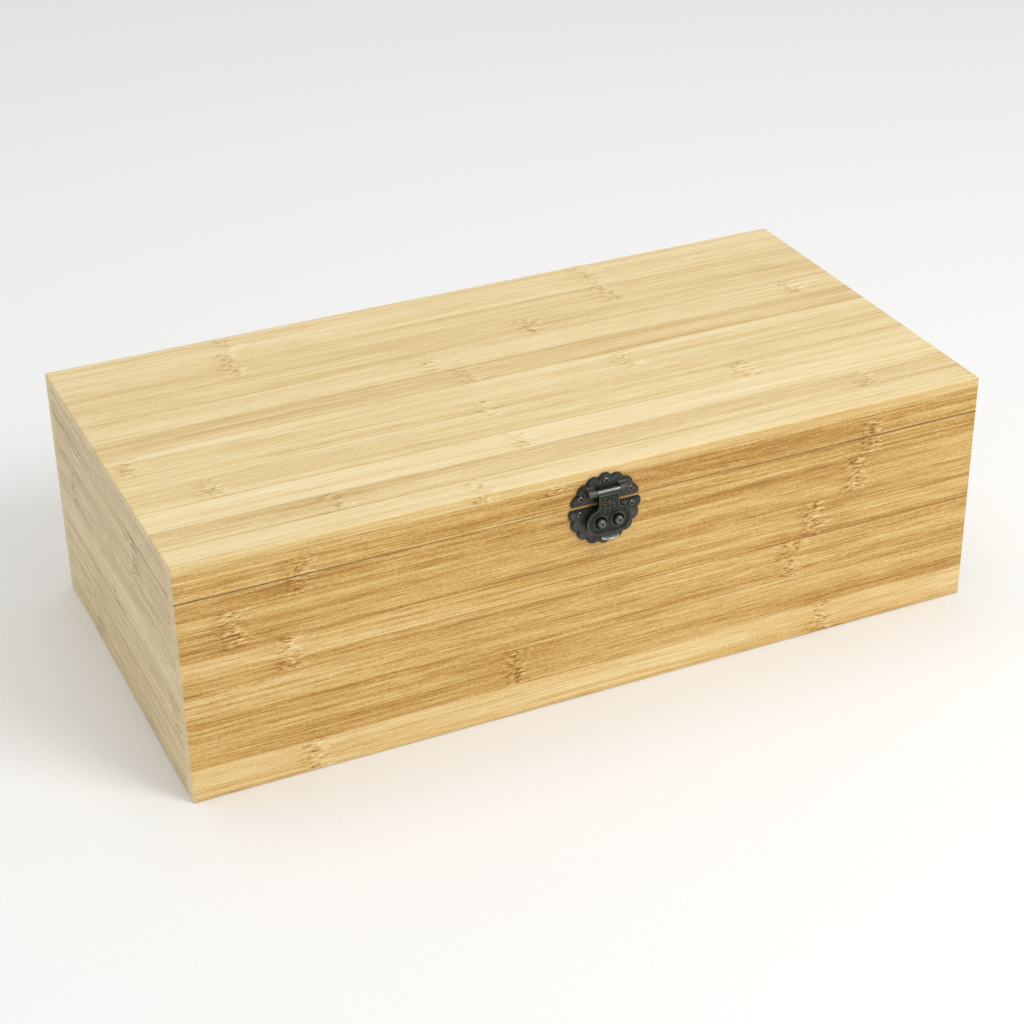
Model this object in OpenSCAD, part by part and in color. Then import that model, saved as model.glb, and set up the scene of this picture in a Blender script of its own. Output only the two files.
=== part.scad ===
// Hinged bamboo box for tea bags, with a fixed grid of dividers and a cast clasp.
// Millimetres. X runs along the front, Y to the back and Z up.
// The origin is the centre of the underside.

/* [Box] */
// Length of the box, along its front
box_length = 445; // [320:1:600]
// Depth of the box, front to back
box_depth = 225; // [150:1:320]
// Height of the box with its lid shut
box_height = 134; // [110:1:200]
// Height of the lid, from the lid line to the top
lid_height = 19.7; // [19:0.1:36]
// Thickness of the walls and of the lid's rails
wall = 8; // [6.5:0.5:12]
// Thickness of the panel on top of the lid
lid_panel_t = 5; // [3:0.5:6]
// Thickness of the bottom panel
floor_t = 5; // [3:0.5:8]
// How far the bottom panel is let into the walls
rebate = 4; // [2.5:0.5:6]
// Gap round the edge of the bottom panel
floor_fit = 0.2; // [0.1:0.1:0.5]
// Radius that the outer edges are sanded to
edge_r = 1; // [0.5:0.1:2]

/* [Dividers] */
// Compartments along the front
columns = 5; // [2:1:8]
// Compartments from front to back
rows = 3; // [2:1:5]
// Thickness of a divider
divider_t = 3; // [2:0.5:5]
// How far the dividers end below the rim of the case
divider_drop = 27; // [8:1:45]
// Depth of the grooves that hold the dividers' ends
groove = 2; // [1:0.5:2.5]
// Gap on each side of a divider in its groove or slot
divider_fit = 0.1; // [0.05:0.05:0.3]

/* [Clasp plates] */
// How far the clasp sits to the right of the middle
clasp_x = 0.7; // [-20:0.1:20]
// Radius of the round plate, over its lobes
plate_r = 20; // [18.5:0.1:21]
// How far the centre of the plate lies below the lid line
plate_drop = 3.4; // [2:0.1:5]
// Lobes round the whole plate
lobes = 16; // [14:2:20]
// Radius of one lobe
lobe_r = 4.1; // [3.4:0.1:4.2]
// Thickness of the plate at its thin edge
plate_edge_t = 1.1; // [0.8:0.1:1.3]
// Thickness of the plate inside its edge
plate_t = 1.6; // [1.4:0.1:1.8]
// Width of the thin edge
plate_edge_w = 0.7; // [0.5:0.1:1.3]
// Gap from the lid line up to the upper plate
upper_gap = 1.2; // [0.5:0.1:2]
// Gap from the lid line down to the lower plate
lower_gap = 0.9; // [0.5:0.1:3]

/* [Clasp pin] */
// Height of the clasp's pin above the lid line
pin_up = 8; // [6.5:0.1:8.4]
// How far the pin's axis stands out from the front
pin_out = 3.8; // [3.8:0.1:5]
// Radius of the clasp's pin
pin_r = 0.9; // [0.7:0.1:1.1]
// Radial gap between the pin and the hasp
pin_fit = 0.05; // [0.02:0.01:0.1]
// Radius of the hasp's knuckle
knuckle_r = 1.85; // [1.6:0.05:1.85]
// Width of the hasp's knuckle
knuckle_w = 12.8; // [11.6:0.1:15]
// Width of each ear on the upper plate
ear_w = 4.2; // [3:0.1:5]
// Radius of the ears round the pin
ear_r = 2; // [1.9:0.1:2.4]
// Gap between the knuckle and each ear
ear_gap = 0.3; // [0.2:0.05:0.6]

/* [Hasp] */
// Thickness of the hasp
hasp_t = 1.6; // [1.2:0.1:1.8]
// Width of the hasp's neck
neck_w = 11.2; // [9:0.1:11.4]
// Width of the hasp across its body
hasp_w = 24.6; // [21:0.1:25.4]
// Radius of the two round cheeks of the body
cheek_r = 7.1; // [5.5:0.1:7.4]
// Radius of the hollow between neck and cheek
flare_r = 2.6; // [1.5:0.1:3.5]
// Distance from the pin down to the studs
stud_drop = 16; // [14.5:0.1:18]
// Distance between the two studs
stud_pitch = 9.6; // [9:0.1:11]
// Radius of the two holes for the studs
hole_r = 3.4; // [3.2:0.1:3.7]
// Height of the raised border, rings and scrollwork on the hasp
relief_t = 0.35; // [0.2:0.05:0.5]
// Width of the raised border
border_w = 0.9; // [0.6:0.1:1.2]
// Width of the raised lines of the scrollwork on the neck
scroll_w = 0.6; // [0.4:0.05:0.7]
// How far the finger lip stands out from the hasp
lip_out = 4; // [3:0.1:6]
// Width of the finger lip
lip_w = 9.6; // [7:0.1:10]
// Thickness of the finger lip
lip_t = 1.1; // [0.8:0.1:1.2]
// Inner radius of the bend into the lip
lip_bend = 0.8; // [0.5:0.1:1.2]

/* [Studs] */
// Radius of a stud's head
stud_r = 2.2; // [1.8:0.1:2.4]
// Radius of a stud's neck
stud_neck_r = 1.5; // [1.2:0.1:1.7]
// How far the studs stand out from the front
stud_out = 8.4; // [7.8:0.1:9]
// Length of a stud's head
stud_head = 2.8; // [2:0.1:3.2]
// Height of the collar that a stud stands on
collar_h = 0.8; // [0.4:0.1:1.2]
// Radius of that collar
collar_r = 2.7; // [2.5:0.1:3.2]
// Radius of the dimple in a stud's end
dimple_r = 0.7; // [0.4:0.1:0.9]

/* [Hinges] */
// Distance from each end of the box to the middle of a hinge
hinge_inset = 85; // [50:1:120]
// Width of a hinge
hinge_w = 32; // [26:1:50]
// Height of each leaf, from the lid line
leaf_h = 12.5; // [10:0.5:13]
// Thickness of a leaf
leaf_t = 1.2; // [0.8:0.1:1.4]
// Radius of the hinge's barrel
barrel_r = 2.4; // [2.1:0.1:3]
// Gap between the barrel and the wood
barrel_gap = 0.35; // [0.3:0.05:0.6]
// Radius of the hinge's pin
hinge_pin_r = 1.2; // [0.9:0.1:1.4]
// Gap between neighbouring knuckles
knuckle_gap = 0.3; // [0.2:0.05:0.6]

/* [Screws] */
// Radius of a screw's head
head_r = 2.05; // [1.8:0.05:2.2]
// Height of a screw's head
head_h = 1; // [0.8:0.05:1.1]
// Radius of a screw's shank
shank_r = 0.9; // [0.7:0.05:1]
// Length of a screw under its head
screw_len = 6; // [4.5:0.5:6.5]
// Gap round a shank in a plate or leaf
screw_fit = 0.2; // [0.1:0.05:0.3]
// Radius of the round recess in a screw's head
recess_r = 0.95; // [0.6:0.05:1]
// Width of the slots that cross the recess
cross_w = 0.5; // [0.3:0.05:0.6]

/* [Hidden] */
$fn = 64;
big = 100;

bamboo = [0.86, 0.70, 0.45];
bamboo_pale = [0.91, 0.81, 0.60];
bamboo_inside = [0.88, 0.75, 0.52];
bronze = [0.20, 0.19, 0.18];
worn_bronze = [0.42, 0.40, 0.38];

half_l = box_length / 2;
half_d = box_depth / 2;
line_z = box_height - lid_height;
rail_top = box_height - lid_panel_t;
inner_x = half_l - wall;
inner_y = half_d - wall;

// The grid of dividers
divider_top = line_z - divider_drop;
lap_z = (floor_t + divider_top) / 2;
column_w = (2 * inner_x - (columns - 1) * divider_t) / columns;
row_w = (2 * inner_y - (rows - 1) * divider_t) / rows;
slot_w = divider_t + 2 * divider_fit;
divider_end = groove - divider_fit;
function cross_x(i) = -inner_x + i * column_w + (i - 0.5) * divider_t;
function long_y(j) = -inner_y + j * row_w + (j - 0.5) * divider_t;

// The clasp, in its own frame: x to the right, y up from the lid line, z out of the front
lobe_ring = plate_r - lobe_r;
hub_r = lobe_ring + 0.6;
ear_x = knuckle_w / 2 + ear_gap + ear_w / 2;
ear_fillet = 1.2;
pin_len = 2 * ear_x + ear_w;
pin_end_h = 0.4;
hasp_front = pin_out + knuckle_r;
hasp_back = hasp_front - hasp_t;
stud_y = pin_up - stud_drop;
cheek_x = hasp_w / 2 - cheek_r;
flare_x = neck_w / 2 + flare_r;
flare_y = stud_y + sqrt(pow(cheek_r + flare_r, 2) - pow(flare_x - cheek_x, 2));
bend_y = stud_y - cheek_r;
ring_w = 0.8;
scroll_r = (neck_w / 2 - border_w - scroll_w - 0.45) / 2;
scroll_x = scroll_r + scroll_w / 2 + 0.15;
scroll_y = pin_up - knuckle_r - 0.6 - scroll_r - scroll_w / 2;
curl_r = 0.7 * scroll_r;
curl_x = curl_r + scroll_w / 2 + 0.15;
curl_y = scroll_y - 2.6 * scroll_r;
lip_nose_r = 0.62 * lip_w;
upper_screw_ring = plate_r - 3.7;
upper_screws = [for (a = [32, 90, 148]) [upper_screw_ring * cos(a), upper_screw_ring * sin(a) - plate_drop]];
lower_screw_x = plate_r - 5.6;
lower_screws = [for (s = [-1, 1]) [s * lower_screw_x, -plate_drop]];
stud_sides = [-1, 1];

// The hinges, each in a frame like the clasp's on the back of the box
hinge_xs = [-half_l + hinge_inset, half_l - hinge_inset];
barrel_out = barrel_r + barrel_gap;
leaf_edge = barrel_r + knuckle_gap;
mid_w = hinge_w / 3;
pin_cap_h = 0.8;
leaf_screws = [for (s = [-1, 1]) [s * hinge_w * 0.31, leaf_edge + (leaf_h - leaf_edge) / 2]];
cross_depth = 0.45;
recess_depth = 0.7;

// ---- Shared shapes ----

// A block given by its lowest and highest corners
module block(low, high) {
    translate(low) cube(high - low);
}

// A rectangle round the origin with round corners
module soft_rectangle(w, h) {
    for (x = [-1, 1], y = [-1, 1])
        translate([x * (w / 2 - edge_r), y * (h / 2 - edge_r)]) circle(r = edge_r);
    square([w, h - 2 * edge_r], center = true);
    square([w - 2 * edge_r, h], center = true);
}

// Keeps what lies inside the closed box, whose outer edges are sanded round
module sanded() {
    intersection() {
        children();
        linear_extrude(box_height) soft_rectangle(box_length, box_depth);
        translate([0, half_d, box_height / 2]) rotate([90, 0, 0])
            linear_extrude(box_depth) soft_rectangle(box_length, box_height);
        translate([-half_l, 0, box_height / 2]) rotate([90, 0, 90])
            linear_extrude(box_length) soft_rectangle(box_depth, box_height);
    }
}

// The clasp's frame on the front, and a hinge's on the back
module on_front() {
    translate([clasp_x, -half_d, line_z]) rotate([90, 0, 0]) children();
}

module on_back(x) {
    translate([x, half_d, line_z]) rotate([90, 0, 180]) children();
}

// Extrudes an outline along x, where its first coordinate points out and its second up
module across(w) {
    rotate([0, -90, 0]) linear_extrude(w, center = true) children();
}

// ---- Screws ----

module shank(at, out, extra = 0) {
    point_h = 1.5;
    translate([at[0], at[1], out - screw_len]) {
        cylinder(r1 = 0.2, r2 = shank_r + extra, h = point_h);
        translate([0, 0, point_h]) cylinder(r = shank_r + extra, h = screw_len - point_h);
    }
}

// A domed head with a deep round recess and a cross in it, standing on a plate of thickness out
module screw(at, out) {
    dome_r = (pow(head_r, 2) + pow(head_h, 2)) / (2 * head_h);
    shank(at, out);
    translate([at[0], at[1], out]) difference() {
        intersection() {
            cylinder(r = head_r, h = head_h);
            translate([0, 0, head_h - dome_r]) sphere(r = dome_r);
        }
        for (turn = [45, 135])
            rotate(turn) translate([-head_r * 0.62, -cross_w / 2, head_h - cross_depth])
                cube([head_r * 1.24, cross_w, cross_depth + 1]);
        translate([0, 0, head_h - recess_depth]) cylinder(r = recess_r, h = recess_depth + 1);
    }
}

// The hole that a screw needs in a plate or leaf
module plate_hole(at, out) {
    translate([at[0], at[1], -1]) cylinder(r = shank_r + screw_fit, h = out + 2);
}

// ---- Case ----

module floor_space(gap) {
    block(
        [-inner_x - rebate + gap, -inner_y - rebate + gap, -gap],
        [inner_x + rebate - gap, inner_y + rebate - gap, floor_t]
    );
}

// Grooves in the long walls for the cross dividers, and in the short ones for the long
module wall_grooves() {
    for (i = [1 : columns - 1])
        block([cross_x(i) - slot_w / 2, -inner_y - groove, 0],
            [cross_x(i) + slot_w / 2, inner_y + groove, divider_top]);
    for (j = [1 : rows - 1])
        block([-inner_x - groove, long_y(j) - slot_w / 2, 0],
            [inner_x + groove, long_y(j) + slot_w / 2, divider_top]);
}

// A case wall with its rebate and grooves
module case_wall(low, high) {
    sanded() difference() {
        block(low, high);
        floor_space(0);
        wall_grooves();
    }
}

module front_wall() {
    color(bamboo) difference() {
        case_wall([-half_l, -half_d, 0], [half_l, -inner_y, line_z]);
        on_front() for (at = lower_screws) shank(at, plate_t);
    }
}

module back_wall() {
    color(bamboo) difference() {
        case_wall([-half_l, inner_y, 0], [half_l, half_d, line_z]);
        for (x = hinge_xs) on_back(x) for (at = leaf_screws) shank([at[0], -at[1]], leaf_t);
    }
}

module side_wall(side) {
    low_x = min(side * inner_x, side * half_l);
    color(bamboo) case_wall([low_x, -inner_y, 0], [low_x + wall, inner_y, line_z]);
}

module bottom_panel() {
    color(bamboo_pale) intersection() {
        floor_space(floor_fit);
        block([-half_l, -half_d, 0], [half_l, half_d, floor_t]);
    }
}

// Long dividers are slotted from above and cross dividers from below
module long_divider(j) {
    color(bamboo_inside) difference() {
        block([-inner_x - divider_end, long_y(j) - divider_t / 2, floor_t],
            [inner_x + divider_end, long_y(j) + divider_t / 2, divider_top]);
        for (i = [1 : columns - 1])
            translate([cross_x(i) - slot_w / 2, long_y(j) - divider_t, lap_z])
                cube([slot_w, 2 * divider_t, divider_top]);
    }
}

module cross_divider(i) {
    color(bamboo_inside) difference() {
        block([cross_x(i) - divider_t / 2, -inner_y - divider_end, floor_t],
            [cross_x(i) + divider_t / 2, inner_y + divider_end, divider_top]);
        for (j = [1 : rows - 1])
            translate([cross_x(i) - divider_t, long_y(j) - slot_w / 2, 0])
                cube([2 * divider_t, slot_w, lap_z]);
    }
}

// ---- Lid ----

module lid_panel() {
    color(bamboo_pale) sanded()
        block([-half_l, -half_d, rail_top], [half_l, half_d, box_height]);
}

module lid_front_rail() {
    color(bamboo) difference() {
        sanded() block([-half_l, -half_d, line_z], [half_l, -inner_y, rail_top]);
        on_front() for (at = upper_screws) shank(at, plate_t);
    }
}

module lid_back_rail() {
    color(bamboo) difference() {
        sanded() block([-half_l, inner_y, line_z], [half_l, half_d, rail_top]);
        for (x = hinge_xs) on_back(x) for (at = leaf_screws) shank(at, leaf_t);
    }
}

module lid_side_rail(side) {
    low_x = min(side * inner_x, side * half_l);
    color(bamboo) sanded() block([low_x, -inner_y, line_z], [low_x + wall, inner_y, rail_top]);
}

// ---- Clasp ----

// The lobed outline of the whole round plate, drawn in by inset
module scallop(inset) {
    translate([0, -plate_drop]) {
        circle(r = hub_r - inset);
        for (i = [0 : lobes - 1])
            rotate(i * 360 / lobes) translate([lobe_ring, 0]) circle(r = lobe_r - inset);
    }
}

// The part of the round plate between two heights, thin at its edge
module plate_between(low_y, high_y) {
    linear_extrude(plate_edge_t) intersection() {
        scallop(0);
        translate([-big / 2, low_y]) square([big, high_y - low_y]);
    }
    linear_extrude(plate_t) intersection() {
        scallop(plate_edge_w);
        translate([-big / 2, low_y + plate_edge_w]) square([big, high_y - low_y - 2 * plate_edge_w]);
    }
}

// Side view of an ear: round about the pin, and running out into the plate with hollow fillets
module ear_outline() {
    root = plate_edge_t / 2;
    translate([pin_out, pin_up]) circle(r = ear_r);
    translate([root, pin_up - ear_r]) square([pin_out - root, 2 * ear_r]);
    for (s = [-1, 1])
        translate([plate_t, pin_up + s * (ear_r + ear_fillet / 2)]) difference() {
            translate([(ear_fillet + root - plate_t) / 2, 0])
                square([ear_fillet + plate_t - root, ear_fillet], center = true);
            translate([ear_fillet, s * ear_fillet / 2]) circle(r = ear_fillet);
        }
}

module pin_rod(r, len) {
    translate([-len / 2, pin_up, pin_out]) rotate([0, 90, 0]) cylinder(r = r, h = len);
}

module clasp_upper_plate() {
    color(bronze) on_front() difference() {
        union() {
            plate_between(upper_gap, big / 2);
            for (s = [-1, 1]) translate([s * ear_x, 0, 0]) across(ear_w) ear_outline();
        }
        pin_rod(pin_r, pin_len + 2);
        for (at = upper_screws) plate_hole(at, plate_t);
    }
}

module clasp_pin() {
    color(worn_bronze) on_front() {
        pin_rod(pin_r, pin_len);
        for (s = [-1, 1])
            translate([s * pin_len / 2, pin_up, pin_out]) rotate([0, s * 90, 0])
                cylinder(r1 = pin_r * 1.4, r2 = pin_r * 0.7, h = pin_end_h);
    }
}

module clasp_lower_plate() {
    color(bronze) on_front() difference() {
        plate_between(-big / 2, -lower_gap);
        for (at = lower_screws) plate_hole(at, plate_t);
        for (s = stud_sides)
            translate([s * stud_pitch / 2, stud_y, -1]) cylinder(r = stud_neck_r, h = plate_t + 2);
    }
}

// A stud: tail through the plate, collar, neck and a round-shouldered head with a dimple
module stud() {
    shoulder = 0.6;
    head_low = stud_out - stud_head;
    difference() {
        union() {
            cylinder(r = stud_neck_r, h = stud_out - shoulder);
            translate([0, 0, plate_t]) cylinder(r1 = collar_r, r2 = collar_r - 0.4, h = collar_h);
            translate([0, 0, head_low])
                cylinder(r1 = stud_neck_r, r2 = stud_r, h = shoulder);
            translate([0, 0, head_low + shoulder])
                cylinder(r = stud_r, h = stud_head - 2 * shoulder);
            translate([0, 0, stud_out - shoulder])
                cylinder(r1 = stud_r, r2 = stud_r - shoulder, h = shoulder);
        }
        translate([0, 0, stud_out - 0.9]) cylinder(r = dimple_r, h = 2);
    }
}

module clasp_studs() {
    color(worn_bronze) on_front()
        for (s = stud_sides) translate([s * stud_pitch / 2, stud_y, 0]) stud();
}

module clasp_upper_screws() {
    color(bronze) on_front() for (at = upper_screws) screw(at, plate_t);
}

module clasp_lower_screws() {
    color(bronze) on_front() for (at = lower_screws) screw(at, plate_t);
}

// One side of the hollow curve from the neck into the cheek
module flare(inset) {
    reach = cheek_r / (cheek_r + flare_r);
    touch = [cheek_x + (flare_x - cheek_x) * reach, stud_y + (flare_y - stud_y) * reach];
    difference() {
        polygon([[0, stud_y], [0, flare_y], [flare_x, flare_y], touch, [cheek_x, stud_y]]);
        translate([flare_x, flare_y]) circle(r = flare_r + inset);
    }
}

// Front view of the hasp, drawn in by inset
module hasp_outline(inset) {
    translate([-neck_w / 2 + inset, stud_y]) square([neck_w - 2 * inset, stud_drop - inset]);
    translate([-cheek_x, bend_y + inset]) square([2 * cheek_x, 2 * (cheek_r - inset)]);
    for (s = [-1, 1]) translate([s * cheek_x, stud_y]) circle(r = cheek_r - inset);
    flare(inset);
    mirror([1, 0]) flare(inset);
}

module stud_holes(r) {
    for (s = stud_sides) translate([s * stud_pitch / 2, stud_y]) circle(r = r);
}

function on_circle(r, a) = [r * cos(a), r * sin(a)];

// A raised line along part of a circle, with a knob at each end
module arc_line(r, from, to) {
    turn = (to - from) / 8;
    intersection() {
        difference() {
            circle(r = r + scroll_w / 2);
            circle(r = r - scroll_w / 2);
        }
        polygon(concat([[0, 0]], [for (k = [0 : 8]) on_circle(3 * r, from + k * turn)]));
    }
    for (a = [from, to]) translate(on_circle(r, a)) circle(r = scroll_w * 0.66);
}

// The right half of the scrollwork: an open ring round a bead beside the stem, and a curl below
module half_scroll() {
    translate([scroll_x, scroll_y]) {
        arc_line(scroll_r, -180, 105);
        circle(r = scroll_r * 0.34);
    }
    translate([curl_x, curl_y]) arc_line(curl_r, -50, 180);
}

module scrollwork() {
    stem_low = curl_y - curl_r;
    translate([-scroll_w / 2, stem_low]) square([scroll_w, scroll_y - stem_low]);
    for (y = [stem_low, scroll_y]) translate([0, y]) circle(r = scroll_w * 0.8);
    half_scroll();
    mirror([1, 0]) half_scroll();
}

// Side view of the finger lip: a bend out of the hasp and a tongue with a round end
module lip_outline() {
    bend_out = hasp_front + lip_bend;
    tongue_low = bend_y - lip_bend - lip_t;
    tongue_end = hasp_front + lip_out - lip_t / 2;
    intersection() {
        translate([bend_out, bend_y]) difference() {
            circle(r = lip_bend + lip_t);
            circle(r = lip_bend);
        }
        translate([bend_out - big, bend_y - big]) square([big, big]);
    }
    translate([bend_out, tongue_low]) square([tongue_end - bend_out, lip_t]);
    translate([tongue_end, tongue_low + lip_t / 2]) circle(r = lip_t / 2);
    // Short overlap with the flat of the hasp
    translate([hasp_front - lip_t, bend_y]) square([lip_t, lip_bend]);
}

module finger_lip() {
    nose = hasp_front + lip_out - lip_nose_r;
    intersection() {
        across(lip_w) lip_outline();
        translate([0, 0, nose]) rotate([90, 0, 0]) cylinder(r = lip_nose_r, h = big, center = true);
    }
}

module clasp_hasp() {
    color(bronze) on_front() difference() {
        union() {
            pin_rod(knuckle_r, knuckle_w);
            translate([0, 0, hasp_back]) linear_extrude(hasp_t) difference() {
                hasp_outline(0);
                stud_holes(hole_r);
            }
            translate([0, 0, hasp_front - hasp_t / 2]) linear_extrude(hasp_t / 2 + relief_t) {
                difference() {
                    hasp_outline(0);
                    hasp_outline(border_w);
                    stud_holes(hole_r);
                    translate([-big / 2, pin_up - knuckle_r]) square([big, big]);
                }
                difference() {
                    stud_holes(hole_r + ring_w);
                    stud_holes(hole_r);
                }
                scrollwork();
            }
            finger_lip();
        }
        pin_rod(pin_r + pin_fit, knuckle_w + 2);
    }
}

// ---- Hinges ----

// A leaf that hangs down from the lid line, with the knuckles between the given x limits
module leaf(strips, bore_r) {
    difference() {
        union() {
            translate([-hinge_w / 2, -leaf_h, 0]) cube([hinge_w, leaf_h - leaf_edge, leaf_t]);
            for (s = strips) {
                translate([s[0], -leaf_h, 0]) cube([s[1] - s[0], leaf_h, leaf_t]);
                translate([s[0], 0, barrel_out]) rotate([0, 90, 0])
                    cylinder(r = barrel_r, h = s[1] - s[0]);
            }
        }
        translate([-hinge_w, 0, barrel_out]) rotate([0, 90, 0]) cylinder(r = bore_r, h = 2 * hinge_w);
        for (at = leaf_screws) plate_hole([at[0], -at[1]], leaf_t);
    }
}

module hinge_case_leaf(x) {
    outer = mid_w / 2 + knuckle_gap / 2;
    color(bronze) on_back(x) leaf([[-hinge_w / 2, -outer], [outer, hinge_w / 2]], hinge_pin_r);
}

module hinge_lid_leaf(x) {
    inner = mid_w / 2 - knuckle_gap / 2;
    color(bronze) on_back(x) mirror([0, 1, 0]) leaf([[-inner, inner]], hinge_pin_r + pin_fit);
}

module hinge_pin(x) {
    color(worn_bronze) on_back(x) translate([0, 0, barrel_out]) rotate([0, 90, 0]) {
        cylinder(r = hinge_pin_r, h = hinge_w, center = true);
        for (s = [0, 1])
            mirror([0, 0, s]) translate([0, 0, hinge_w / 2])
                cylinder(r1 = barrel_r - 0.3, r2 = hinge_pin_r, h = pin_cap_h);
    }
}

module hinge_case_screws() {
    color(bronze) for (x = hinge_xs) on_back(x) for (at = leaf_screws) screw([at[0], -at[1]], leaf_t);
}

module hinge_lid_screws() {
    color(bronze) for (x = hinge_xs) on_back(x) for (at = leaf_screws) screw(at, leaf_t);
}

// ---- The pieces ----

front_wall();
back_wall();
side_wall(-1);  // left_wall
side_wall(1);  // right_wall
bottom_panel();
for (j = [1 : rows - 1])
    long_divider(j);
for (i = [1 : columns - 1])
    cross_divider(i);
clasp_lower_plate();
clasp_studs();
clasp_lower_screws();
hinge_case_leaf(hinge_xs[0]);  // hinge_left_case_leaf
hinge_case_leaf(hinge_xs[1]);  // hinge_right_case_leaf
hinge_pin(hinge_xs[0]);  // hinge_left_pin
hinge_pin(hinge_xs[1]);  // hinge_right_pin
hinge_case_screws();
lid_panel();
lid_front_rail();
lid_back_rail();
lid_side_rail(-1);  // lid_left_rail
lid_side_rail(1);  // lid_right_rail
clasp_upper_plate();
clasp_pin();
clasp_upper_screws();
hinge_lid_leaf(hinge_xs[0]);  // hinge_left_lid_leaf
hinge_lid_leaf(hinge_xs[1]);  // hinge_right_lid_leaf
hinge_lid_screws();
clasp_hasp();
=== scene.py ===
import math
import random

import bpy
from mathutils import Matrix, Vector


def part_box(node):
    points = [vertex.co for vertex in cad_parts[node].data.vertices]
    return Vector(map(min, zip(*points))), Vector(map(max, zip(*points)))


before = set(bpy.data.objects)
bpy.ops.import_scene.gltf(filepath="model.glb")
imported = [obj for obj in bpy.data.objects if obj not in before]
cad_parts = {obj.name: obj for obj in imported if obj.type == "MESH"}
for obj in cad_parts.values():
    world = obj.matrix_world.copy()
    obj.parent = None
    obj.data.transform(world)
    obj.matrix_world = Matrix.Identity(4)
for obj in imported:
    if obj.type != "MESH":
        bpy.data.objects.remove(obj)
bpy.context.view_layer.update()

# A long bamboo box for tea bags. Its CAD pieces get their materials and softer edges here, and it
# stands on a plain floor in soft light. Lengths are in millimetres where nothing else is said.

MM = 0.001  # one millimetre in the scene's metres


def box_mm(name):
    """A piece's lowest and highest corner at rest, in millimetres."""
    return [[round(c / MM, 3) for c in corner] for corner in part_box(name)]


LOW, HIGH = box_mm("lid_panel")
LENGTH, DEPTH, HEIGHT = HIGH[0] - LOW[0], HIGH[1] - LOW[1], HIGH[2]

# ---- Camera: a long lens to the left of the box, looking down on it ----

CAMERA_AZIMUTH = math.radians(-24.22)
CAMERA_ELEVATION = math.radians(30.05)
CAMERA_ROLL = math.radians(-0.89)
CAMERA_DISTANCE = 1277.2 * MM
AIM_RIGHT = -0.18 * MM
AIM_UP = -43.06 * MM
FOCAL_PIXELS = 2271.6
IMAGE_PIXELS = 1024.0
SENSOR = 36.0  # millimetres
CLIP_END = 50.0  # metres, past the floor's far corner

# ---- Light and floor, in metres and watts ----

# Name, place, diameter and power of each lamp
LAMPS = [("key", (0.9, -1.5, 1.6), 1.1, 24.0), ("overhead", (-0.2, 0.3, 2.2), 1.6, 10.0)]
LAMP_TARGET = (0.0, 0.0, 0.06)
WORLD_STRENGTH = 0.60
FLOOR_HALF = 30.0
FLOOR_DROP = 0.2 * MM  # keeps the floor clear of the box's underside
FLOOR_GRAIN = 0.4  # how often its paper varies (per mm)

# ---- Colours, as the eye sees them (0 to 255) ----

# Darkest streak, shade, body and lightest fibre of each kind of face
BOARD_COLOURS = [(146, 96, 30), (190, 144, 70), (216, 178, 107), (241, 216, 160)]
PANEL_COLOURS = [(186, 148, 84), (218, 190, 132), (232, 209, 157), (246, 232, 192)]
EDGE_COLOURS = [(150, 108, 50), (202, 164, 98), (224, 193, 128), (242, 221, 168)]
# The box's left and right faces: the boards' bamboo painted greyer and cooler, a painted shade and sheen of
# the side light. On sawn ends these colours also stand for the paler end grain
SIDE_SHADE_AND_END_GRAIN_COLOURS = [(156, 126, 84), (202, 176, 130), (227, 204, 157), (248, 232, 192)]
SEAM_COLOUR = (132, 84, 36)
# Painted shade in the gaps where the lid meets the case and where the panel meets its frame
GAP_SHADE_COLOUR = (92, 52, 4)
FLOOR_COLOURS = [(243, 243, 242), (246, 246, 245)]

# Height above the wood and the metal's colour there, from the lowest place to the highest
PLATE_WEAR = [(1.0, (58, 58, 57)), (1.7, (72, 71, 68)), (5.8, (80, 78, 68))]
# On the hasp the brightest colour, where it stands out furthest, is rubbed wear and also a painted
# highlight. The knuckle's painted highlights take that colour too
HASP_WEAR_AND_HIGHLIGHT = [(3.6, (36, 36, 32)), (5.7, (47, 48, 42)), (6.0, (70, 71, 63)), (7.4, (164, 166, 164))]
STEEL_WEAR = [(2.0, (54, 54, 48)), (5.6, (68, 68, 59)), (8.4, (104, 104, 92))]

# The same for the screws, from the face of the metal that they hold, and how thick that is. The
# screws' dark low colours are painted shade in the recess and round the foot of the head, and their
# bright top is rubbed wear.
SCREW_WEAR_AND_SHADE = [(-0.3, (40, 39, 36)), (0.3, (44, 43, 40)), (0.7, (124, 121, 108))]
CLASP_THICKNESS, HINGE_THICKNESS = 1.6, 1.2

# ---- The strips that each board is glued from ----

# Seams are in millimetres from the box's top or back edge. A tone is how much a strip is lighter
# or darker than the rest. Knots are the places of a strip's two growth rings along it. A band is a
# darker line along the board, as its middle, half width and strength.

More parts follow.
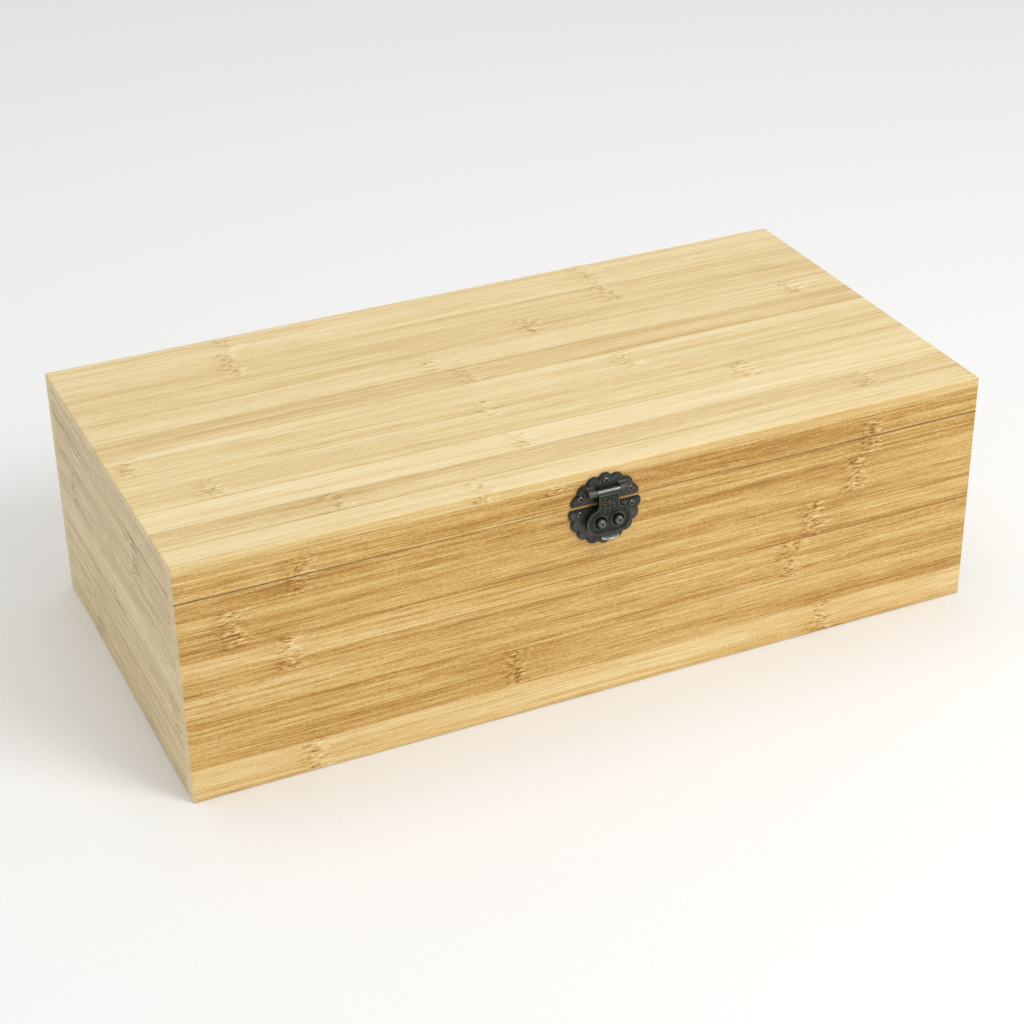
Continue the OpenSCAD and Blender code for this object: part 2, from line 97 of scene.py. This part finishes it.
FRONT_STRIPS = {
    "seams": [9.7, 29.7, 51.1, 71.7, 94.0, 115.4],
    "tones": [0.02, -0.04, -0.02, 0.02, 0.0, 0.0, 0.22],
    "knots": [(196, 520), (62.6, 380), (28, 371), (56, 348), (-60, 335), (174, 480), (66, 357)],
    "bands": [(12.5, 3.0, 0.10), (24.0, 3.5, 0.12), (49.5, 2.4, 0.12), (70.5, 2.6, 0.16), (91.5, 3.4, 0.16),
              (113.0, 2.4, 0.08)],
}
TOP_STRIPS = {
    "seams": [14, 32, 52.6, 72, 92.6, 111.7, 133, 151.4, 170.6, 190.6, 208.3],
    "tones": [0.05, 0.05, -0.03, -0.04, 0.04, -0.09, 0.03, -0.02, 0.01, 0.10, -0.06, 0.07],
    "knots": [(100, 318), (95, 318), (93, 318), (261, 560), (191, 417), (203, 500), (11, 288), (197, 480),
              (43, 340), (199, 490), (91, 390), (159, 450)],
    "bands": [(54.0, 2.0, 0.10), (96.0, 4.0, 0.12), (109.5, 2.2, 0.12), (193.5, 3.0, 0.12)],
}
LEFT_STRIPS = {
    "seams": [19.8, 43, 61.5, 82, 103],
    "tones": [0.03, -0.02, 0.0, 0.11, 0.10, 0.06],
    "knots": [(300, 300), (70, 330), (-40, 190), (120, 400), (20, 300), (165, 420)],
    "bands": [(21.5, 2.5, 0.06), (84.0, 3.0, 0.06), (105.0, 3.0, 0.08)],
}

# Ranges for the boards that the photo doesn't show
FIRST_RING = (-40, 260)
RING_SPACING = (270, 330)
SEAM_PLAY = (-1, 1)
TONE_RANGE = (-0.05, 0.07)
BAND_BEFORE_SEAM, BAND_HALF_WIDTH, BAND_STRENGTH = 2, 2.6, 0.1


def made_strips(total, pitch, seed):
    """Strips of about that pitch for a board that the photo doesn't show."""
    rng = random.Random(seed)
    count = max(2, round(total / pitch))
    step = total / count
    first = [rng.uniform(*FIRST_RING) for _ in range(count)]
    return {
        "seams": [round((i + 1) * step + rng.uniform(*SEAM_PLAY), 1) for i in range(count - 1)],
        "tones": [round(rng.uniform(*TONE_RANGE), 2) for _ in range(count)],
        "knots": [(round(k), round(k + rng.uniform(*RING_SPACING))) for k in first],
        "bands": [(round((i + 1) * step - BAND_BEFORE_SEAM, 1), BAND_HALF_WIDTH, BAND_STRENGTH)
                  for i in range(0, count - 1, 2)],
    }


# ---- Writing materials ----

# Where a palette's four colours stand on the scale of the grain, which has its middle at 0.5
PALETTE_STOPS = (0.06, 0.36, 0.56, 0.92)


def linear(colour):
    """A colour of 0 to 255 as the renderer's own linear values."""
    parts = [c / 255 for c in colour]
    return [c / 12.92 if c <= 0.04045 else ((c + 0.055) / 1.055) ** 2.4 for c in parts] + [1.0]


class Shader:
    """A short way to write one material's nodes. Sockets and numbers mix freely."""

    def __init__(self, name):
        self.material = bpy.data.materials.new(name)
        self.material.use_nodes = True
        self.tree = self.material.node_tree
        self.tree.nodes.clear()

    def put(self, socket, value):
        if isinstance(value, bpy.types.NodeSocket):
            self.tree.links.new(value, socket)
        else:
            socket.default_value = value

    def math(self, operation, *values, clamp=False):
        node = self.tree.nodes.new("ShaderNodeMath")
        node.operation = operation
        node.use_clamp = clamp
        for socket, value in zip(node.inputs, values):
            self.put(socket, value)
        return node.outputs[0]

    def add(self, *values):
        total = values[0]
        for value in values[1:]:
            total = self.math("ADD", total, value)
        return total

    def times(self, a, b):
        return self.math("MULTIPLY", a, b)

    def minus(self, a, b):
        return self.math("SUBTRACT", a, b)

    def absolute(self, value):
        return self.math("ABSOLUTE", value)

    def swing(self, noise, strength):
        """A noise's swing about its middle, up and down."""
        return self.times(self.minus(noise, 0.5), strength)

    def above(self, value, start, gain):
        """0 up to the start, rising from there by the gain, and 1 at most."""
        return self.math("MULTIPLY", self.minus(value, start), gain, clamp=True)

    def hill(self, distance, width):
        """1 at no distance, falling away smoothly over the width."""
        return self.math("EXPONENT", self.times(self.times(distance, distance), -1 / width ** 2))

    def steps(self, value, edges, heights):
        """heights[0] up to the first edge, heights[1] up to the second, and so on."""
        total = heights[0]
        for i, edge in enumerate(edges):
            rise = heights[i + 1] - heights[i]
            total = self.math("MULTIPLY_ADD", self.math("GREATER_THAN", value, edge), rise, total)
        return total

    def nearest(self, value, places):
        """Distance to the nearest of several places."""
        best = None
        for place in places:
            distance = self.absolute(self.minus(value, place))
            best = distance if best is None else self.math("MINIMUM", best, distance)
        return best

    def vector(self, x, y, z):
        node = self.tree.nodes.new("ShaderNodeCombineXYZ")
        for socket, value in zip(node.inputs, (x, y, z)):
            self.put(socket, value)
        return node.outputs[0]

    def object_mm(self):
        """The three coordinates of the object's own space, in millimetres."""
        place = self.tree.nodes.new("ShaderNodeTexCoord").outputs["Object"]
        node = self.tree.nodes.new("ShaderNodeSeparateXYZ")
        self.tree.links.new(place, node.inputs[0])
        return [self.times(axis, 1 / MM) for axis in node.outputs]

    def noise(self, x, y, z, detail=2.0, roughness=0.5):
        node = self.tree.nodes.new("ShaderNodeTexNoise")
        self.put(node.inputs["Vector"], self.vector(x, y, z))
        node.inputs["Scale"].default_value = 1.0
        node.inputs["Detail"].default_value = detail
        node.inputs["Roughness"].default_value = roughness
        return node.outputs["Fac"]

    def ramp(self, factor, stops):
        node = self.tree.nodes.new("ShaderNodeValToRGB")
        elements = node.color_ramp.elements
        while len(elements) < len(stops):
            elements.new(0.5)
        for element, (place, colour) in zip(elements, stops):
            element.position = place
            element.color = colour
        self.put(node.inputs["Fac"], factor)
        return node.outputs["Color"]

    def toned(self, factor, colours):
        """A palette's colours, from its darkest at a low factor to its lightest at a high one."""
        return self.ramp(factor, list(zip(PALETTE_STOPS, map(linear, colours))))

    def mix(self, factor, a, b):
        node = self.tree.nodes.new("ShaderNodeMix")
        node.data_type = "RGBA"
        self.put(node.inputs["Factor"], factor)
        self.put(node.inputs["A"], a)
        self.put(node.inputs["B"], b)
        return node.outputs["Result"]

    def finish(self, colour, roughness, height, depth_mm, strength, **constants):
        """Wires the surface: a bump of that depth, and constants by the shader's socket names."""
        bump = self.tree.nodes.new("ShaderNodeBump")
        bump.inputs["Strength"].default_value = strength
        bump.inputs["Distance"].default_value = depth_mm * MM
        self.put(bump.inputs["Height"], height)
        shader = self.tree.nodes.new("ShaderNodeBsdfPrincipled")
        self.put(shader.inputs["Base Color"], colour)
        self.put(shader.inputs["Roughness"], roughness)
        self.put(shader.inputs["Normal"], bump.outputs["Normal"])
        for name, value in constants.items():
            shader.inputs[name.replace("_", " ")].default_value = value
        output = self.tree.nodes.new("ShaderNodeOutputMaterial")
        self.tree.links.new(shader.outputs["BSDF"], output.inputs["Surface"])
        return self.material


# ---- Bamboo ----

X, Y, Z = 0, 1, 2
REACH = {X: LENGTH / 2, Y: DEPTH / 2, Z: HEIGHT}  # of the box from the frame's origin

# Each layer of the grain: how often it varies along and across the fibres (per mm), its noise
# detail and roughness, and its weight
GRAIN_LAYERS = {
    "broad": (0.004, 0.10, 1.0, 0.5, 0.42),
    "streaks": (0.008, 0.40, 3.0, 0.58, 0.80),
    "bundles": (0.006, 1.10, 2.0, 0.58, 0.55),
    "fine": (0.05, 2.5, 2.0, 0.60, 0.80),
    "grit": (0.60, 2.2, 1.0, 0.50, 0.45),
}
FINEST = ("fine", "grit")

# Steps in the noise from one strip to the next, and from one board and its specks to the next
STRIP_SHIFT, BOARD_SHIFT, SPECK_SHIFT = 7.31, 3.7, 5.1

# Growth rings. Dark and light dashes (teeth) stand on either side of a ring, streaks (its feather)
# fade away from it, and the fibres bend beside it. Rates are how often a noise varies along and
# across the fibres (per mm), and a gain is how sharply it is cut.
RING_STRAY, STRAY_RATE = 13.0, 0.20  # how far a ring wanders along its strip, and how often
RING_HALF_WIDTH, RING_WEIGHT = 0.7, 0.10
BEND, BEND_REACH, BEND_RATES = 3.2, 12.0, (0.13, 0.26)
TEETH_OFFSET, TEETH_REACH, TEETH_RATES, TEETH_GAIN = 2.4, 5.8, (0.22, 1.20), 7.0
DARK_TEETH_WEIGHT, LIGHT_TEETH_WEIGHT = 0.50, 0.36
FEATHER_REACH, FEATHER_RATES, FEATHER_GAIN, FEATHER_WEIGHT = 17.0, (0.05, 0.8), 5.0, 0.18

# Where the bands and the seams' lines are dark, and where they fade
UNEVEN_RATES, UNEVEN_START, UNEVEN_GAIN = (0.010, 0.05), 0.30, 2.6

# Marks on the board: their half widths, and how much of their colour shows
SEAM_HALF_WIDTH, SEAM_STRENGTH = 0.30, 0.55
# Painted shade in the gaps between lid and case and between panel and frame
GAP_SHADE_HALF_WIDTH, GAP_SHADE_STRENGTH = 0.42, 0.92
SPECK_RATES, SPECK_START, SPECK_GAIN, SPECK_STRENGTH = (0.45, 0.95, 0.9), 0.765, 12.0, 0.6

# The painted shade in a gap is broken in the middle of a board. Past ENDS_START of the way to its
# ends it gets whole, by ENDS_GAIN per mm.
GAP_SHADE_START, GAP_SHADE_GAIN = 0.12, 1.7
ENDS_START, ENDS_GAIN = 0.6, 0.02

OUTSIDE_DEPTH = 0.8  # how deep the painted gap shade reaches from the box's outside
SKIN_DEPTH = 0.45  # how deep the look of an outside face goes

# A sawn end: how often its pores vary (per mm), and the weights of its grain, pores and base tone
PORE_RATE, SAWN_GRAIN, SAWN_PORES, SAWN_BASE = 1.5, 0.5, 0.45, 0.11

# The surface: its roughness, and the weights of what is raised and sunk in its relief
BOARD_ROUGHNESS, ROUGHNESS_SPREAD = 0.42, 0.16
FINE_RAISED, BUNDLES_RAISED, SEAM_SUNK, TEETH_SUNK, RELIEF_MM = 0.5, 0.4, 0.7, 0.4, 0.12


class Bamboo(Shader):
    """Bamboo strips glued edge to edge, with their fibres along one axis.

    A place on it is given along the fibres (along), across them from the box's top or back edge
    (side) and through the board (deep).
    """

    def __init__(self, name, strips, grain, across, seed):
        super().__init__(name)
        self.strips = strips
        self.seed = seed
        self.grain = grain
        self.across = across
        self.through = X + Y + Z - grain - across
        self.place = self.object_mm()
        self.along = self.add(self.place[grain], REACH[grain])
        self.side = self.minus(REACH[across], self.place[across])
        self.deep = self.place[self.through]

        seams = strips["seams"]
        strip = self.steps(self.side, seams, range(len(seams) + 1))
        self.shift = self.add(self.times(strip, STRIP_SHIFT), seed * BOARD_SHIFT)
        self.from_ring = self.ring_distance()
        self.bent = self.bent_side()
        self.uneven = self.noise(*self.scaled(UNEVEN_RATES), seed + 0.5)
        self.present = self.above(self.uneven, UNEVEN_START, UNEVEN_GAIN)

    def scaled(self, rates):
        """The places along, across and through the board, as far as there are rates for them."""
        return [self.times(place, rate) for place, rate in zip((self.along, self.side, self.deep), rates)]

    def ring_distance(self):
        """Signed distance from the strip's nearer growth ring, which is a ragged line across it."""
        ragged = self.noise(self.times(self.side, STRAY_RATE), self.shift, 3.3, detail=3.0, roughness=0.65)
        reach = self.add(self.along, self.swing(ragged, RING_STRAY))
        first, second = [self.minus(reach, self.steps(self.side, self.strips["seams"], places))
                         for places in zip(*self.strips["knots"])]
        is_first = self.math("LESS_THAN", self.absolute(first), self.absolute(second))
        return self.add(second, self.times(is_first, self.minus(first, second)))

    def bent_side(self):
        """The place across the fibres, which run straight but for the rings, where they bend."""
        wave = self.noise(*self.scaled(BEND_RATES), self.shift)
        wave = self.swing(wave, self.hill(self.from_ring, BEND_REACH))
        return self.add(self.side, self.times(wave, BEND))

    def fibres(self, rate_along, rate_across, detail=2.0, roughness=0.6):
        """Noise in long fibres, from how often it varies along and across them (per mm)."""
        through = self.add(self.times(self.deep, rate_across), self.shift)
        return self.noise(self.times(self.along, rate_along), self.times(self.bent, rate_across), through,
                          detail, roughness)

    def ring_teeth(self):
        """The dark and the light dashes on either side of a ring."""
        teeth = self.swing(self.fibres(*TEETH_RATES), TEETH_GAIN)
        dark = self.math("MAXIMUM", teeth, 0.0)
        light = self.math("MAXIMUM", self.times(teeth, -1.0), 0.0)
        return (self.times(dark, self.hill(self.add(self.from_ring, TEETH_OFFSET), TEETH_REACH)),
                self.times(light, self.hill(self.minus(self.from_ring, TEETH_OFFSET), TEETH_REACH)))

    def ring_feather(self):
        """The streaks that fade away from a ring."""
        streaks = self.minus(0.5, self.fibres(*FEATHER_RATES))
        streaks = self.math("MULTIPLY", streaks, FEATHER_GAIN, clamp=True)
        return self.times(streaks, self.hill(self.from_ring, FEATHER_REACH))

    def bands(self):
        """The darker bands, which come and go along the board."""
        for centre, half_width, strength in self.strips["bands"]:
            band = self.times(self.hill(self.minus(self.side, centre), half_width), strength)
            yield self.times(band, self.present)

    def seam_lines(self):
        line = self.hill(self.nearest(self.side, self.strips["seams"]), SEAM_HALF_WIDTH)
        return self.times(line, self.present)

    def specks(self):
        along, side, deep = self.scaled(SPECK_RATES)
        dots = self.noise(along, side, self.add(self.seed * SPECK_SHIFT, deep), detail=1.0)
        return self.above(dots, SPECK_START, SPECK_GAIN)

    def creases(self):
        """Painted shade in the gaps on the box's outside, stronger towards the ends of the board."""
        outside = self.hill(self.minus(REACH[self.through], self.absolute(self.deep)), OUTSIDE_DEPTH)
        crease = 0.0
        for height, strength in self.strips.get("creases", ()):
            line = self.hill(self.minus(self.side, height), GAP_SHADE_HALF_WIDTH)
            crease = self.add(crease, self.times(line, strength))
        crease = self.times(crease, outside)
        from_middle = self.absolute(self.place[self.grain])
        whole = self.above(from_middle, REACH[self.grain] * ENDS_START, ENDS_GAIN)
        broken = self.minus(self.uneven, GAP_SHADE_START)
        return self.times(crease, self.math("MULTIPLY_ADD", broken, GAP_SHADE_GAIN, whole, clamp=True))

    def faces(self, value, look):
        """The grain's colours on the broad faces, and on each outside face that has its own. The sides' own
        colours are painted shade and sheen.
        """
        pores = self.noise(self.times(self.side, PORE_RATE), self.times(self.deep, PORE_RATE), self.seed,
                           roughness=0.6)
        sawn = self.add(self.times(value, SAWN_GRAIN), self.times(pores, SAWN_PORES), SAWN_BASE)
        colour = self.toned(value, look["face"])
        parts = {"skin": (self.through, value), "edge": (self.across, value), "end": (self.grain, sawn)}
        for part, (axis, factor) in parts.items():
            if part in look:
                start = REACH[axis] - SKIN_DEPTH
                on_part = self.math("GREATER_THAN", self.absolute(self.place[axis]), start)
                colour = self.mix(on_part, colour, self.toned(factor, look[part]))
        return colour


def bamboo(name, strips, grain, across, look, contrast, crisp, seed):
    """A board's material.

    look gives the colours of the broad faces, and where they differ on the box's outside, those of
    the outermost face (skin), long edge and sawn end. contrast is the strength of the grain, and
    crisp that of its finest layers.
    """
    s = Bamboo(name, strips, grain, across, seed)
    layers = {}
    value = s.add(0.5, s.steps(s.side, strips["seams"], strips["tones"]))
    for layer, (rate_along, rate_across, detail, roughness, weight) in GRAIN_LAYERS.items():
        layers[layer] = s.fibres(rate_along, rate_across, detail, roughness)
        value = s.add(value, s.swing(layers[layer], weight * (crisp if layer in FINEST else contrast)))

    dark_teeth, light_teeth = s.ring_teeth()
    value = s.minus(value, s.times(dark_teeth, DARK_TEETH_WEIGHT * contrast))
    value = s.add(value, s.times(light_teeth, LIGHT_TEETH_WEIGHT * contrast))
    value = s.minus(value, s.times(s.ring_feather(), FEATHER_WEIGHT * contrast))
    value = s.minus(value, s.times(s.hill(s.from_ring, RING_HALF_WIDTH), RING_WEIGHT * contrast))
    for band in s.bands():
        value = s.minus(value, band)

    seam_lines = s.seam_lines()
    colour = s.faces(value, look)
    colour = s.mix(s.times(seam_lines, SEAM_STRENGTH), colour, linear(SEAM_COLOUR))
    colour = s.mix(s.times(s.specks(), SPECK_STRENGTH), colour, linear(SEAM_COLOUR))
    # Painted shade in the gaps between lid and case and between panel and frame
    colour = s.mix(s.times(s.creases(), GAP_SHADE_STRENGTH), colour, linear(GAP_SHADE_COLOUR))

    height = s.add(s.times(layers["fine"], FINE_RAISED), s.times(layers["bundles"], BUNDLES_RAISED))
    height = s.minus(height, s.times(seam_lines, SEAM_SUNK))
    height = s.minus(height, s.times(dark_teeth, TEETH_SUNK))
    roughness = s.add(BOARD_ROUGHNESS, s.times(layers["fine"], ROUGHNESS_SPREAD))
    return s.finish(colour, roughness, height, RELIEF_MM, strength=0.55, Specular_IOR_Level=0.35,
                    Coat_Weight=0.1, Coat_Roughness=0.35)


# ---- Metal ----

# How often the cast surface varies (per mm), and the weights of that in its colour, roughness and
# relief
METAL_GRAIN, METAL_DENTS, METAL_PATCHES = 1.9, 0.62, 0.30
PATCH_SHADE, GRAIN_SHADE = 1.6, 1.4
GRAIN_ROUGHNESS, HIGHLIGHT_POLISH = 0.25, 0.12
GRAIN_RELIEF, DENT_RELIEF = 0.3, 0.7

# Painted highlights on the hasp's knuckle, bright lines where the light glints on it, also polished:
# height from the pin, half width and strength
KNUCKLE_HIGHLIGHTS = [(0.8, 0.6, 0.6), (-1.3, 0.3, 0.3)]
HIGHLIGHT_START = 1.0  # they lie only on what stands out this far past the metal's lowest place


def cast_metal(name, wear_and_shade, roughness, mottle, hammer_mm, seed, highlights=()):
    """Blackened cast metal, rubbed brighter where it stands out further.

    The list of heights gives the colour at each height above the wood, from low to high. On the
    screws its dark low colours are painted shade, and on the hasp its top colour is also a painted
    highlight. mottle is how far the colour strays from it. hammer_mm is the depth of the dents. Each
    knuckle line is a painted highlight, also polished, along the length, as its height, half width and
    strength.
    """
    s = Shader(name)
    x, y, z = s.object_mm()

    def lumps(rate, **kind):
        return s.noise(s.times(x, rate), s.times(y, rate), s.add(s.times(z, rate), seed), **kind)

    grain = lumps(METAL_GRAIN, detail=3.0, roughness=0.65)
    dents = lumps(METAL_DENTS, detail=1.5)
    patches = lumps(METAL_PATCHES)
    proud = s.minus(s.absolute(y), DEPTH / 2)
    low, high = wear_and_shade[0][0], wear_and_shade[-1][0]
    reach = s.math("DIVIDE", s.minus(proud, low), high - low, clamp=True)

    def worn_and_shaded(gain):
        return s.ramp(reach, [((h - low) / (high - low), linear([c * gain for c in colour]))
                              for h, colour in wear_and_shade])

    shade = s.add(s.swing(patches, PATCH_SHADE), s.swing(grain, GRAIN_SHADE))
    colour = s.mix(s.math("ADD", shade, 0.5, clamp=True), worn_and_shaded(1 - mottle), worn_and_shaded(1 + mottle))
    rough = s.add(roughness, s.swing(grain, GRAIN_ROUGHNESS))
    # Painted highlights: bright lines on the knuckle's front, also polished to less roughness
    for height, half_width, strength in highlights:
        line = s.times(s.hill(s.minus(z, height), half_width), strength)
        line = s.times(line, s.math("GREATER_THAN", proud, low + HIGHLIGHT_START))
        colour = s.mix(line, colour, linear(wear_and_shade[-1][1]))
        rough = s.minus(rough, s.times(line, HIGHLIGHT_POLISH))
    height = s.add(s.times(grain, GRAIN_RELIEF), s.times(dents, DENT_RELIEF))
    return s.finish(colour, rough, height, hammer_mm, strength=0.8, Metallic=0.7, Specular_IOR_Level=0.5)


def floor_material():
    s = Shader("stage_paper")
    x, y, _ = s.object_mm()
    speck = s.noise(s.times(x, FLOOR_GRAIN), s.times(y, FLOOR_GRAIN), 0.0, detail=3.0)
    colour = s.ramp(speck, list(zip((0.3, 0.7), map(linear, FLOOR_COLOURS))))
    return s.finish(colour, roughness=0.8, height=speck, depth_mm=0.05, strength=0.1,
                    Specular_IOR_Level=0.2)


# ---- Dressing the frame ----

# Rounding of the edges
BOARD_EDGE, DIVIDER_EDGE = 0.45, 0.3
CAST_EDGE, STEEL_EDGE, SCREW_EDGE = 0.22, 0.1, 0.08
EDGE_SEGMENTS = 2
SHARP_ANGLE = math.radians(35)
WELD_GAP = 0.002


def soften(node, width_mm):
    """Rounds a CAD piece's edges with modifiers, its mesh left as it is."""
    weld = node.modifiers.new("weld", "WELD")
    weld.merge_threshold = WELD_GAP * MM
    bevel = node.modifiers.new("edges", "BEVEL")
    bevel.width = width_mm * MM
    bevel.segments = EDGE_SEGMENTS
    bevel.limit_method = "ANGLE"
    bevel.angle_limit = SHARP_ANGLE
    bevel.use_clamp_overlap = True
    bevel.miter_outer = "MITER_ARC"
    node.modifiers.new("shading", "WEIGHTED_NORMAL")


def paint(material, names, edge_mm):
    """Gives the pieces their material, and rounds their edges where edge_mm isn't 0."""
    for name in names:
        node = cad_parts[name]
        node.material_slots[0].material = material
        if edge_mm:
            soften(node, edge_mm)


def dress_boards():
    back = made_strips(HEIGHT, pitch=20.5, seed=11)
    right = made_strips(HEIGHT, pitch=20.5, seed=12)
    under = made_strips(DEPTH, pitch=19.5, seed=13)
    tall = made_strips(HEIGHT, pitch=27.0, seed=14)

    # Painted shade darkens the gap where the lid meets the case, and the one where its panel meets its
    # frame, which shows just below the rail's rounded edge
    lid_line = HEIGHT - box_mm("front_wall")[1][2]
    panel_line = HEIGHT - box_mm("lid_front_rail")[1][2] + BOARD_EDGE
    for strips in (FRONT_STRIPS, back):
        strips["creases"] = [(lid_line, 1.0), (panel_line, 0.15)]
    for strips in (LEFT_STRIPS, right):
        strips["creases"] = [(lid_line, 0.10), (panel_line, 0.40)]

    # On the sides this is the palette of painted shade and sheen; on sawn ends it also stands for the paler
    # end grain
    board = {"face": BOARD_COLOURS, "end": SIDE_SHADE_AND_END_GRAIN_COLOURS}
    side = {"face": BOARD_COLOURS, "skin": SIDE_SHADE_AND_END_GRAIN_COLOURS}
    panel = {"face": PANEL_COLOURS, "edge": EDGE_COLOURS, "end": SIDE_SHADE_AND_END_GRAIN_COLOURS}
    inner = {"face": BOARD_COLOURS}

    # Name, strips, axes along and across the fibres, look, contrast, crispness and pieces
    plan = [
        ("bamboo_front", FRONT_STRIPS, X, Z, board, 0.95, 1.2, ["front_wall", "lid_front_rail"]),
        ("bamboo_back", back, X, Z, board, 0.95, 1.2, ["back_wall", "lid_back_rail"]),
        ("bamboo_left", LEFT_STRIPS, Y, Z, side, 0.85, 1.5, ["left_wall", "lid_left_rail"]),
        ("bamboo_right", right, Y, Z, side, 0.85, 1.5, ["right_wall", "lid_right_rail"]),
        ("bamboo_top", TOP_STRIPS, X, Y, panel, 0.8, 0.85, ["lid_panel"]),
        ("bamboo_under", under, X, Y, panel, 0.8, 0.85, ["bottom_panel"]),
    ]
    for seed, (name, strips, grain, across, look, contrast, crisp, nodes) in enumerate(plan, 1):
        paint(bamboo(name, strips, grain, across, look, contrast, crisp, seed), nodes, BOARD_EDGE)
    for kind, grain, seed in (("long_divider", X, 7), ("cross_divider", Y, 8)):
        material = bamboo("bamboo_" + kind, tall, grain, Z, inner, contrast=0.8, crisp=0.8, seed=seed)
        paint(material, sorted(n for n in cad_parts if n.startswith(kind)), DIVIDER_EDGE)


def dress_metal():
    low, high = box_mm("clasp_pin")
    pin_height = (low[2] + high[2]) / 2
    # The knuckle's painted highlights, at their heights from the pin
    highlights = [(pin_height + rise, half_width, strength) for rise, half_width, strength in KNUCKLE_HIGHLIGHTS]
    plates = cast_metal("cast_plates", PLATE_WEAR, roughness=0.50, mottle=0.28, hammer_mm=0.18, seed=1)
    hasp = cast_metal("cast_hasp", HASP_WEAR_AND_HIGHLIGHT, roughness=0.44, mottle=0.30, hammer_mm=0.26, seed=2,
                      highlights=highlights)
    steel = cast_metal("worn_steel", STEEL_WEAR, roughness=0.46, mottle=0.22, hammer_mm=0.10, seed=3)
    names = sorted(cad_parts)
    for kind, thickness, seed in (("clasp", CLASP_THICKNESS, 4), ("hinge", HINGE_THICKNESS, 5)):
        # Painted shade in the screws' recesses and round their heads, under their rubbed tops
        wear_and_shade = [(thickness + height, colour) for height, colour in SCREW_WEAR_AND_SHADE]
        screw = cast_metal(kind + "_screw", wear_and_shade, roughness=0.42, mottle=0.16, hammer_mm=0.04, seed=seed)
        paint(screw, [n for n in names if n.startswith(kind) and n.endswith("screws")], SCREW_EDGE)
    paint(hasp, ["clasp_hasp"], CAST_EDGE)
    paint(steel, ["clasp_pin", "clasp_studs", "hinge_left_pin", "hinge_right_pin"], STEEL_EDGE)
    paint(plates, ["clasp_upper_plate", "clasp_lower_plate"], CAST_EDGE)
    paint(plates, [n for n in names if n.endswith("leaf")], 0)


# ---- Stage, light and camera ----


def make_floor():
    half = FLOOR_HALF
    mesh = bpy.data.meshes.new("floor")
    corners = [(-half, -half, 0), (half, -half, 0), (half, half, 0), (-half, half, 0)]
    mesh.from_pydata(corners, [], [(0, 1, 2, 3)])
    mesh.materials.append(floor_material())
    floor = bpy.data.objects.new("floor", mesh)
    bpy.context.scene.collection.objects.link(floor)
    floor.location.z = -FLOOR_DROP


def area_light(name, place, diameter, power):
    data = bpy.data.lights.new(name, "AREA")
    data.shape = "DISK"
    data.size = diameter
    data.energy = power
    light = bpy.data.objects.new(name, data)
    light.location = place
    aim = Vector(LAMP_TARGET) - Vector(place)
    light.rotation_euler = aim.to_track_quat("-Z", "Y").to_euler()
    bpy.context.scene.collection.objects.link(light)


def make_light():
    world = bpy.data.worlds.new("studio")
    world.use_nodes = True
    background = world.node_tree.nodes["Background"]
    background.inputs["Color"].default_value = (1.0, 1.0, 1.0, 1.0)
    background.inputs["Strength"].default_value = WORLD_STRENGTH
    bpy.context.scene.world = world
    for lamp in LAMPS:
        area_light(*lamp)


def make_camera():
    a, e, roll = CAMERA_AZIMUTH, CAMERA_ELEVATION, CAMERA_ROLL
    back = Vector((math.sin(a) * math.cos(e), -math.cos(a) * math.cos(e), math.sin(e)))
    level = Vector((0, 0, 1)).cross(back).normalized()
    upright = back.cross(level)
    right = math.cos(roll) * level + math.sin(roll) * upright
    up = math.cos(roll) * upright - math.sin(roll) * level
    turn = Matrix((right, up, back)).transposed()
    data = bpy.data.cameras.new("photo_camera")
    data.sensor_width = SENSOR
    data.lens = FOCAL_PIXELS * SENSOR / IMAGE_PIXELS
    data.clip_end = CLIP_END
    camera = bpy.data.objects.new("photo_camera", data)
    place = turn @ Vector((-AIM_RIGHT, -AIM_UP, CAMERA_DISTANCE))
    camera.matrix_world = Matrix.Translation(place) @ turn.to_4x4()
    bpy.context.scene.collection.objects.link(camera)
    bpy.context.scene.camera = camera


make_camera()
dress_boards()
dress_metal()
make_floor()
make_light()
bpy.context.scene.view_settings.view_transform = "Standard"
